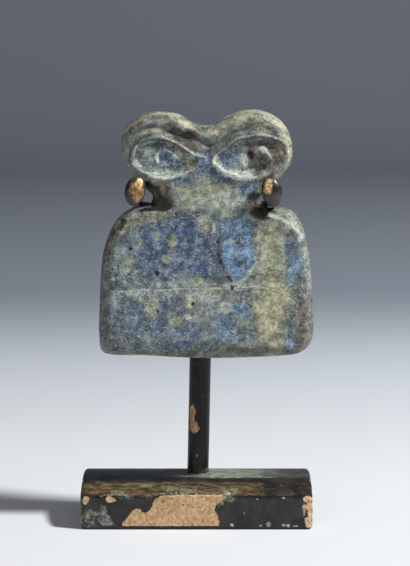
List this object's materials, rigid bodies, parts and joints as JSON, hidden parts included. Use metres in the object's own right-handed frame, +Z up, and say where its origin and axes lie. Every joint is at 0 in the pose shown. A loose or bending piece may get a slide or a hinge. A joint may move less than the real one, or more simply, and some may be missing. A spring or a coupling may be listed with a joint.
{
  "type": "idol figurine",
  "caption": "Flat carved stone eye idol with two lobed eyes over a plain bell-shaped body, held at the neck by a wire cradle on a thin post from a low metal bar.",
  "frame": {"origin": "middle of the stand bar's underside, on the surface it rests on", "axes": "+X to the viewer's right along the bar, +Y away from the viewer (the idol's carved face looks towards -Y), +Z up along the post"},
  "size_m": [0.0426, 0.0206, 0.0762],
  "materials": {
    "stone": "worn, softly polished mottled blue stone with tan patina",
    "bar_lacquer": "black-brown lacquer over brass, chipped",
    "post_lacquer": "black lacquer over brass",
    "cradle_brass": "darkened brass, tips rubbed bright"
  },
  "bodies": {
    "root": {"idol": "stone", "stand_base": "bar_lacquer", "stand_post": "post_lacquer", "stand_cradle": "cradle_brass"}
  },
  "joints": []
}
